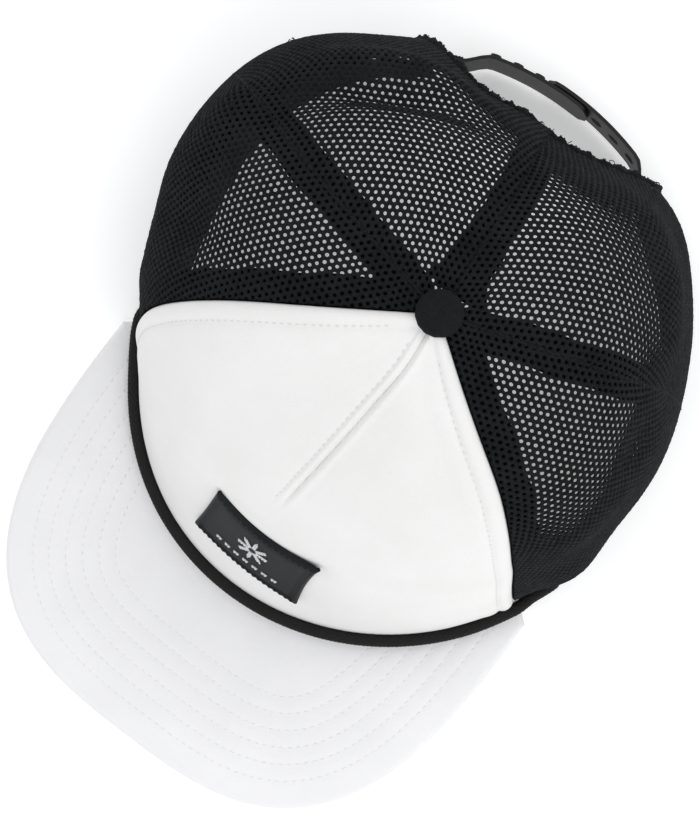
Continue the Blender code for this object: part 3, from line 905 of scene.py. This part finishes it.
def arch_edge():
    """The folded and frayed edge of the arch, with the look of doubled mesh."""
    turn = (np.linspace(0, 1, 240) - 0.5) * math.pi
    beside = ARCH_HALF_ANGLE * np.sin(turn)
    phi = ARCH_CENTRE - beside
    phi = np.where(phi > math.pi, phi - 2 * math.pi, phi)
    fall = fall_at_height(phi, np.maximum(arch_height(beside), 0.001))
    line = on_mesh(phi, fall, -0.0004)
    lumps = np.random.default_rng(SEED).normal(0, 0.00026, (len(line), 20))

    def relief(s, angle):
        return 0.00018 * np.sin(s * 2600 + 3 * np.sin(angle)) + lumps

    swell = 0.00030 * np.sin(np.linspace(0, 150, 240)) + 0.00022 * np.sin(np.linspace(2, 63, 240))
    normals = crown_normal(phi, fall)
    edge = tube_piece("arch_edge_binding", line, 0.00145 + swell, 20, MESH_YARN, relief, normals)
    place_piece(edge, ("arch_binding",))


def seam_ridges():
    """The turned edges where two mesh panels meet, standing slightly proud over each tape."""
    for name, seam, low_height in (
        ("seam_ridge_side_right", side_seam_right, 0.002),
        ("seam_ridge_side_left", side_seam_left, 0.002),
        ("seam_ridge_back", back_seam, ARCH_HEIGHT + 0.001),
    ):
        fall = np.linspace(fall_at_height(seam(1.0), low_height), fall_at_radius(seam(0.0), 0.005), 260)
        line = on_mesh(seam(fall), fall, -0.0003)
        lumps = np.random.default_rng(SEED).normal(0, 0.00010, (len(line), 10))

        def relief(s, angle):
            return 0.00012 * np.sin(s * 2500) + lumps

        ridge = tube_piece(name, line, 0.0006, 10, MESH_YARN, relief, crown_normal(seam(fall), fall))
        place_piece(ridge)


# ---- front panel

DART_LOW = 0.069
PANEL_OUT = 0.0008


def dart_angle(fall):
    return 0.016 + 0.05 * bell(fall - 0.1, 0.07)


def front_relief(phi, fall):
    """Padding, seam roll and the dart's crease, as an offset outwards from the crown."""
    reach = reach_at(phi, fall)
    side = np.minimum(phi - front_seam_right(fall), front_seam_left(fall) - phi) * reach
    z = height_at(phi, fall)
    out = PANEL_OUT - 0.0019 * np.exp(-side / 0.0011) + 0.0007 * bell(side - 0.0034, 0.0026)
    out = out - 0.00045 * bell(side - 0.0062, 0.0009) + 0.0003 * bell(side - 0.0095, 0.0025)
    window = smooth((z - DART_LOW) / 0.012)
    beside = (phi - dart_angle(fall)) * reach
    out = out - window * 0.0015 * np.exp(-np.abs(beside) / 0.0006)
    out = out + window * 0.0006 * bell(np.abs(beside) - 0.0017, 0.0010)
    out = out - window * 0.0003 * bell(beside + 0.0031, 0.0006)
    low = z - FRONT_HEM_HEIGHT
    out = out - 0.0008 * np.exp(-low / 0.0015) + 0.0005 * bell(low - 0.006, 0.004)
    calm = smooth(side / 0.02) * smooth(low / 0.02)
    out = out + calm * (0.0005 * np.sin(6.0 * phi + 3.0 * fall) + 0.0004 * np.sin(11 * fall - 4 * phi))
    return out


def cloth_swell(points, normals, pinned, pressure, cap):
    """How far a sheet fastened at its pinned points swells out, by cloth simulation."""
    rows, columns = pinned.shape
    sheet = mesh_object("cloth_trial", points, grid_faces(columns - 1, rows - 1))
    group = sheet.vertex_groups.new(name="pins")
    group.add([int(k) for k in np.flatnonzero(pinned.ravel())], 1.0, "REPLACE")
    cloth = sheet.modifiers.new("Cloth", "CLOTH")
    cloth.settings.vertex_group_mass = "pins"
    cloth.settings.quality = 6
    cloth.settings.mass = 0.002
    cloth.settings.tension_stiffness = 10.0
    cloth.settings.compression_stiffness = 10.0
    cloth.settings.bending_stiffness = 2.0
    cloth.settings.use_pressure = True
    cloth.settings.uniform_pressure_force = pressure
    cloth.settings.effector_weights.gravity = 0.0
    cloth.point_cache.frame_start = 1
    cloth.point_cache.frame_end = 20
    for frame_number in range(1, 21):
        bpy.context.scene.frame_set(frame_number)
    evaluated = sheet.evaluated_get(bpy.context.evaluated_depsgraph_get())
    found = np.empty(len(evaluated.data.vertices) * 3)
    evaluated.data.vertices.foreach_get("co", found)
    bpy.context.scene.frame_set(1)
    bpy.data.objects.remove(sheet, do_unlink=True)
    moved = ((found.reshape(points.shape) - points) * normals).sum(-1)
    return np.clip(moved, -cap, cap)


def sample(field, across, up):
    """The value of a coarse grid between its knots."""
    rows, columns = field.shape
    x, y = across * (columns - 1), up * (rows - 1)
    i, j = np.minimum(x.astype(int), columns - 2), np.minimum(y.astype(int), rows - 2)
    a, b = smooth(x - i), smooth(y - j)
    low = field[j, i] * (1 - a) + field[j, i + 1] * a
    high = field[j + 1, i] * (1 - a) + field[j + 1, i + 1] * a
    return low * (1 - b) + high * b


def sewn_down(phi, fall):
    """Where the front panel can't lift: along its seams, its dart and under its label."""
    reach = reach_at(phi, fall)
    z = height_at(phi, fall)
    held = np.minimum(phi - front_seam_right(fall), front_seam_left(fall) - phi) * reach < 0.0075
    held |= (np.abs(phi - dart_angle(fall)) * reach < 0.0042) & (z > DART_LOW - 0.004)
    held |= (phi > LABEL_SIDES[0] - 0.01) & (phi < LABEL_SIDES[1] + 0.07) & (z > 0.019) & (z < 0.061)
    held |= z < FRONT_HEM_HEIGHT + 0.005
    held[0], held[-3:], held[:, :2], held[:, -2:] = True, True, True, True
    return held


def panel_angles(across, up):
    """The angle and fall at a share across the front panel and a share up it."""
    mid = -FRONT_SEAM + 2 * FRONT_SEAM * across
    fall = fall_at_height(mid, FRONT_HEM_HEIGHT)
    fall = fall + (fall_at_radius(mid, PANEL_TOP_RADIUS) - fall) * up
    first, last = front_seam_right(fall), front_seam_left(fall)
    inset = 0.0003 / np.maximum(reach_at(mid, fall), 0.004)
    return first + inset + (last - first - 2 * inset) * across, fall


def panel_swell():
    """The front panel's soft swell between its seams."""
    across, up = unit_grid(60, 44)
    phi, fall = panel_angles(across, up)
    flat = crown_offset(phi, fall, PANEL_OUT)
    lifted = crown_offset(phi, fall, PANEL_OUT + 0.001)
    return cloth_swell(flat, unit(lifted - flat), sewn_down(phi, fall), 500.0, 0.0016)


def front_panel():
    swell = panel_swell()

    def place(across, up):
        across = across - 0.05 * np.sin(4 * math.pi * across)
        phi, fall = panel_angles(across, up)
        return crown_offset(phi, fall, front_relief(phi, fall) + sample(swell, across, up))

    def foam_place(across, up):
        return crown_offset(*panel_angles(0.016 + 0.968 * across, up * 0.93), -0.0016)

    panel = grid_piece("padded_front_panel", place, 230, 170, WHITE_JERSEY, 0.0012)
    place_piece(panel, ("front_panel",))
    foam = grid_piece("foam_front_lining", foam_place, 80, 60, FOAM_LINING, 0.0026)
    place_piece(foam, ("front_foam",))


def on_panel(phi, fall):
    """A line on the front panel's face, with its normals."""
    return crown_offset(phi, fall, front_relief(phi, fall) + 0.00005), crown_normal(phi, fall)


def front_stitches():
    """The topstitching beside each front seam and beside the dart."""
    lines = []
    fall = np.linspace(0.065, 0.93, 300)
    for seam, side in ((front_seam_right, 1), (front_seam_left, -1)):
        lines.append(on_panel(seam(fall) + side * 0.0062 / reach_at(seam(fall), fall), fall))
    fall = np.linspace(0.075, fall_at_height(0.0, DART_LOW + 0.004), 240)
    lines.append(on_panel(dart_angle(fall) - 0.0031 / reach_at(0.0, fall), fall))
    place_piece(stitch_piece("front_topstitching", lines, GREY_THREAD, TOPSTITCH))


# ---- rope and label


def rope():
    phi = np.linspace(-ROPE_END + 0.02, ROPE_END + 0.10, 900)
    ends = smooth(np.minimum(phi - phi[0], phi[-1] - phi) / 0.09)
    out = ROPE_OUT - 0.0011 * smooth((phi - 0.88) / 0.08) + 0.0009 * bell(phi + 0.88, 0.10)
    line = at_height(phi, ROPE_HEIGHT - 0.0012 * (1 - ends), out - 0.0016 * (1 - ends))

    def relief(s, angle):
        a = 8 * angle / (2 * math.pi) + s / 0.0028
        b = 8 * angle / (2 * math.pi) - s / 0.0028
        plait = np.sqrt(np.abs(np.sin(math.pi * a) * np.sin(math.pi * b)))
        return 0.00034 * plait - 0.00020

    radius = ROPE_RADIUS * (0.75 + 0.25 * ends)
    cord = tube_piece("braided_front_rope", line, radius, 40, ROPE_BRAID, relief)
    place_piece(cord, ("front_rope",))


def label_out(across, up):
    """The label's soft pillow with a rolled rim and lifted corners."""
    u, v = 2 * across - 1, 2 * up - 1
    from_side = (1 - np.abs(u)) * 0.021
    from_top = (1 - np.abs(v)) * 0.014
    edge = np.minimum(from_side, from_top)
    out = 0.0027 - 0.0011 * np.exp(-edge / 0.0005) + 0.00045 * bell(edge - 0.0012, 0.0008)
    out = out + 0.0005 * (1 - u**4) * (1 - v**4) - 0.00025 * bell(edge - 0.0026, 0.0005)
    return out + 0.0009 * (np.abs(u) ** 6) * (np.abs(v) ** 4)


def label_place(across, up):
    """The label's outline: its edges draw in between its corners."""
    u, v = 2 * across - 1, 2 * up - 1
    draw_x, draw_y = 1 - 0.035 * (1 - v * v), 1 - 0.085 * (1 - u * u)
    across, up = 0.5 + u * draw_x / 2, 0.5 + v * draw_y / 2
    phi = LABEL_SIDES[0] + (LABEL_SIDES[1] - LABEL_SIDES[0] + LABEL_LEAN * up) * across
    z = LABEL_BOTTOM[0] + (LABEL_BOTTOM[1] - LABEL_BOTTOM[0]) * across + LABEL_HEIGHT * up
    return phi, z


def on_label(x, y, lift=0.00015):
    """A line on the label's face, with its normals. x and y run from -1 to 1."""
    across, up = 0.5 + np.asarray(x) / 2, 0.5 + np.asarray(y) / 2
    phi, z = label_place(across, up)
    return at_height(phi, z, label_out(across, up) + lift), crown_normal(phi, fall_at_height(phi, z))


def label():
    def place(across, up):
        return at_height(*label_place(across, up), label_out(across, up))

    patch = grid_piece("woven_front_label", place, 120, 80, LABEL_WEAVE, 0.0014)
    place_piece(patch, ("front_label",))


def label_motif():
    """A plain eight-rayed star over a double dashed line."""
    lines = []
    for k in range(8):
        turn = k * math.pi / 4
        for beside in (-0.022, 0.0, 0.022):
            t = np.linspace(0.10, 0.42 - 6 * abs(beside) * 0.3, 24)
            x = t * math.cos(turn) * 0.72 - beside * math.sin(turn)
            lines.append(on_label(x, 0.16 + t * math.sin(turn) + beside * math.cos(turn) * 1.4))
    for k in range(7):
        x = np.linspace(-0.055, 0.055, 12) - 0.54 + 0.18 * k
        for y in (-0.52, -0.47):
            lines.append(on_label(x, np.full(12, y)))
    motif = stitch_piece("label_star_motif", lines, PALE_THREAD, MOTIF_STITCH, 0.00012)
    place_piece(motif)


def label_rim():
    """Black stitches round the label, just inside its edge."""
    t = np.linspace(-0.93, 0.93, 120)
    level = [on_label(t, np.full(120, y), 0.00008) for y in (-0.9, 0.9)]
    steep = [on_label(np.full(120, x), t * 0.96, 0.00008) for x in (-0.935, 0.935)]
    edge = stitch_piece("label_edge_stitching", level + steep, BLACK_THREAD, RIM_STITCH)
    place_piece(edge)


# ---- visor


def visor_plan(across, forward):
    """A point of the visor's plan: across -1 to 1, forward 0 at the crown to 1 at the edge."""
    root = wall_plan(across * (FRONT_SEAM - 0.035), VISOR_ROOT_GAP)
    turn = across * math.pi / 2
    reach = FRONT_LENGTH + VISOR_FRONT + VISOR_CENTRE
    side = signed_power(np.sin(turn), 2 / VISOR_POWER)
    front = np.maximum(np.cos(turn), 0) ** (2 / VISOR_POWER)
    edge = np.stack((VISOR_HALF_WIDTH * side, VISOR_CENTRE - reach * front), -1) + CROWN_CENTRE[:2]
    return root + (edge - root) * forward[..., None]


def visor_height(across, forward):
    return VISOR_RISE * (1 - across * across) * smooth(forward)


def even_across(share):
    """Steps across the visor, -1 to 1, that are about even along its outer edge."""
    return np.sin(signed_power(share, 1.5) * math.pi / 2)


def edge_line(count=1200):
    across = even_across(np.linspace(-1, 1, count))
    return visor_plan(across, np.ones(count))


def line_distance(plan, line):
    """How far each point of the plan is from a line of points."""
    shape = plan.shape[:-1]
    flat = plan.reshape(-1, 2)
    best = np.full(len(flat), 1.0)
    for start in range(0, len(line), 50):
        part = line[start : start + 50]
        span = np.linalg.norm(flat[:, None] - part[None], axis=-1).min(1)
        best = np.minimum(best, span)
    return best.reshape(shape)


def row_relief(distance):
    """Grooves under the stitch rows and the soft swell between them."""
    relief = 0 * distance
    for k in range(STITCH_ROWS):
        relief = relief - 0.00011 * bell(distance - FIRST_ROW - k * ROW_STEP, 0.0007)
    last = FIRST_ROW + (STITCH_ROWS - 1) * ROW_STEP
    inside = smooth((distance - FIRST_ROW) / 0.001) * smooth((last - distance) / 0.001)
    return relief + inside * 0.00004 * (1 - np.cos(2 * math.pi * (distance - FIRST_ROW) / ROW_STEP))


def visor_cover(side_name, face):
    """One cover of the visor, turned round the rim to meet the other. face is 1 on top, -1 below."""
    columns, rows = 300, 130
    spread = even_across(np.linspace(-1, 1, columns + 1))
    side, forward = np.meshgrid(spread, 1 - (1 - np.linspace(0, 1, rows + 1)) ** 1.25)
    plan = visor_plan(side, forward)
    distance = line_distance(plan, edge_line(1400))
    distance[-1] = 0
    ends = [visor_plan(np.full(60, end), np.linspace(0, 1, 60)) for end in (-1.0, 1.0)]
    from_end = line_distance(plan, np.concatenate(ends))
    from_end[:, [0, -1]] = 0
    near = np.minimum(np.minimum(distance, from_end) / 0.0022, 1)
    roll = np.sqrt(np.clip(1 - (1 - near) ** 2, 0, 1))
    lift = (VISOR_TOP_Z - VISOR_LOW_Z) / 2 * roll + row_relief(distance)
    z = visor_height(side, forward) + VISOR_MIDDLE_Z + face * lift
    points = np.concatenate((plan, z[..., None]), -1)
    faces = grid_faces(columns, rows)[:, ::-face]
    cover = mesh_object("stitched_visor_" + side_name, points, faces, plan * UV_SCALE, VISOR_CLOTH)
    return place_piece(cover, ("visor_" + side_name + "_cover",))


def visor_stiffener():
    """The moulded board between the two covers."""

    def place(across, up):
        side = even_across(0.94 * (2 * across - 1))
        forward = 0.06 + 0.88 * up
        ribs = 0.00006 * np.sin(across * 260)
        z = visor_height(side, forward) + VISOR_MIDDLE_Z + 0.0006 + ribs
        return np.concatenate((visor_plan(side, forward), z[..., None]), -1)

    board = grid_piece("moulded_visor_board", place, 120, 50, BOARD_PLASTIC, 0.0012)
    board.modifiers["Thickness"].offset = 0.0
    place_piece(board, ("visor_board",))


def visor_stitches(side_name, cover, face):
    """Rows of stitches on one cover, which follow the visor's outer edge."""
    mesh = cover.data
    corners = [vertex.co.copy() for vertex in mesh.vertices]
    tree = BVHTree.FromPolygons(corners, [tuple(polygon.vertices) for polygon in mesh.polygons])
    line = edge_line()
    ahead = unit(np.gradient(line, axis=0))
    inward = np.stack((-ahead[:, 1], ahead[:, 0]), -1)
    rows = []
    for k in range(STITCH_ROWS):
        depth = FIRST_ROW + k * ROW_STEP
        places, normals = [], []
        for x, y in (line + inward * depth)[::3]:
            near = np.linalg.norm(line - (x, y), axis=1).min()
            hit, normal, _, _ = tree.ray_cast(Vector((x, y, 0.1 * face)), Vector((0, 0, -face)))
            if hit is None or near < depth - 0.0003:
                continue
            places.append(hit + Vector((0, 0, 0.00004 * face)))
            normals.append(normal if normal.z * face > 0 else -normal)
        rows.append((np.array(places), np.array(normals)))
    stitches = stitch_piece("visor_stitching_" + side_name, rows, WHITE_THREAD, VISOR_STITCH)
    place_piece(stitches)


def visor():
    visor_stiffener()
    sides = (("top", 1), ("under", -1))
    covers = [visor_cover(name, face) for name, face in sides]
    for (name, face), cover in zip(sides, covers):
        visor_stitches(name, cover, face)


# ---- button, strap, threads


def button():
    radius, low, high = 0.0070, 0.0011, 0.0048
    turns, rings = 96, 26
    apex = crown_point(np.array(0.0), np.array(0.0))
    angle = np.linspace(0, 2 * math.pi, turns, endpoint=False)
    t = np.linspace(0, 1, rings)[:, None]
    dome = t / 0.8 * math.pi / 2
    r = radius * np.where(t < 0.8, np.sin(dome) ** 0.85, 1 - (t - 0.8) * 0.55)
    z = np.where(t < 0.8, low + (high - low) * np.cos(dome) ** 0.62, low - (t - 0.8) * 0.003)
    ripple = 1 + 0.012 * np.sin(angle * 15) * smooth((t - 0.5) / 0.4)
    x = r * np.cos(angle) * ripple
    y = r * np.sin(angle) * ripple
    points = np.stack((x, y, z + 0 * x), -1) + apex
    faces = grid_faces(turns, rings - 1, wrap=True)[:, ::-1]
    uv = np.stack((x, y), -1) * UV_SCALE
    cap = mesh_object("covered_top_button", points, faces, uv, BUTTON_CLOTH)
    place_piece(cap, ("button_cover",))


def strap_folds():
    """The thin bending strips that join each strap half to its sewn end."""
    for name, side, out in zip(("strap_fold_right", "strap_fold_left"), (-1, 1), STRAP_FOLD_OUT):

        def place(across, up):
            phi = math.pi - side * (STRAP_ROOT + STRAP_FOLD_HALF * (2 * across - 1))
            z = STRAP_BOTTOM + 0.0004 + (STRAP_TOP - STRAP_BOTTOM - 0.0008) * up
            ripple = 0.00012 * np.cos(across * 6 * math.pi)
            return np.concatenate((wall_plan(phi, out + ripple), z[..., None]), -1)

        place_piece(grid_piece(name, place, 24, 20, STRAP_PLASTIC, 0.0005))


def thread_points(rng, start, out, length, curl, radius):
    """A short curled tube that leaves start in the direction out."""
    t = np.linspace(0, 1, THREAD_RINGS)
    side = unit(np.cross(out, rng.normal(0, 1, 3)))
    lift = np.cross(side, out)
    path = start + out * (length * t * (1 - 0.35 * curl * t))[:, None]
    path = path + side * (length * 0.5 * curl * np.sin(2.6 * t))[:, None]
    path = path + lift * (length * 0.25 * curl * np.sin(4.1 * t + 0.5))[:, None]
    turn = np.linspace(0, 2 * math.pi, THREAD_SIDES, endpoint=False)[:, None]
    ring = side * np.cos(turn) + lift * np.sin(turn) + out * np.sin(turn + 1) * 0.4
    return (path[:, None] + radius * ring).reshape(-1, 3)


def arch_threads(rng):
    """Short frayed ends along the arch."""
    points = []
    for _ in range(130):
        beside = ARCH_HALF_ANGLE * rng.uniform(-0.98, 0.98)
        phi = ARCH_CENTRE - beside
        phi = phi - 2 * math.pi if phi > math.pi else phi
        fall = fall_at_height(phi, max(float(arch_height(beside)), 0.003))
        start = on_mesh(phi, fall, -0.0002)
        down = np.array((0, 0, -1.0))
        out = unit(crown_normal(phi, fall) * rng.uniform(0.2, 1.0) + down + rng.normal(0, 0.5, 3))
        length, curl = rng.uniform(0.0012, 0.0030), rng.uniform(0.2, 1.4)
        points.append(thread_points(rng, start, out, length, curl, 0.00014))
    return points


def seam_threads(rng):
    """A few tufts of longer ends at the seams and the hem."""
    points = []
    for phi, z, length, curl in THREAD_TUFTS:
        fall = fall_at_height(phi, z)
        normal = crown_normal(phi, fall)
        start = on_mesh(phi, fall, 0.0002)
        for _ in range(3):
            out = unit(normal + rng.normal(0, 0.6, 3))
            points.append(thread_points(rng, start, out, length * rng.uniform(0.4, 1.1), curl, 0.00022))
    return points


def stray_threads():
    rng = np.random.default_rng(SEED)
    points = np.concatenate(arch_threads(rng) + seam_threads(rng))
    one = grid_faces(THREAD_SIDES, THREAD_RINGS - 1, wrap=True)
    firsts = np.arange(0, len(points), THREAD_SIDES * THREAD_RINGS)
    faces = (firsts[:, None, None] + one).reshape(-1, 4)
    place_piece(mesh_object("frayed_threads", points, faces, None, BLACK_THREAD))


def plain_parts():
    """Looks for the parts whose CAD shape is also the one seen."""
    steel = ("button_rivet", "button_washer")
    plastic = ("strap_anchor_right", "strap_anchor_left", "strap_peg_half", "strap_hole_half")
    for name in steel + plastic:
        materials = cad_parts[name].data.materials
        materials.clear()
        materials.append(STEEL if name in steel else STRAP_PLASTIC)


def main():
    camera()
    lights()
    floor()
    mesh_panels()
    seam_tapes()
    seam_ridges()
    hem_tapes()
    sweatband()
    arch_edge()
    front_panel()
    front_stitches()
    rope()
    label()
    label_motif()
    label_rim()
    visor()
    button()
    strap_folds()
    stray_threads()
    plain_parts()


main()
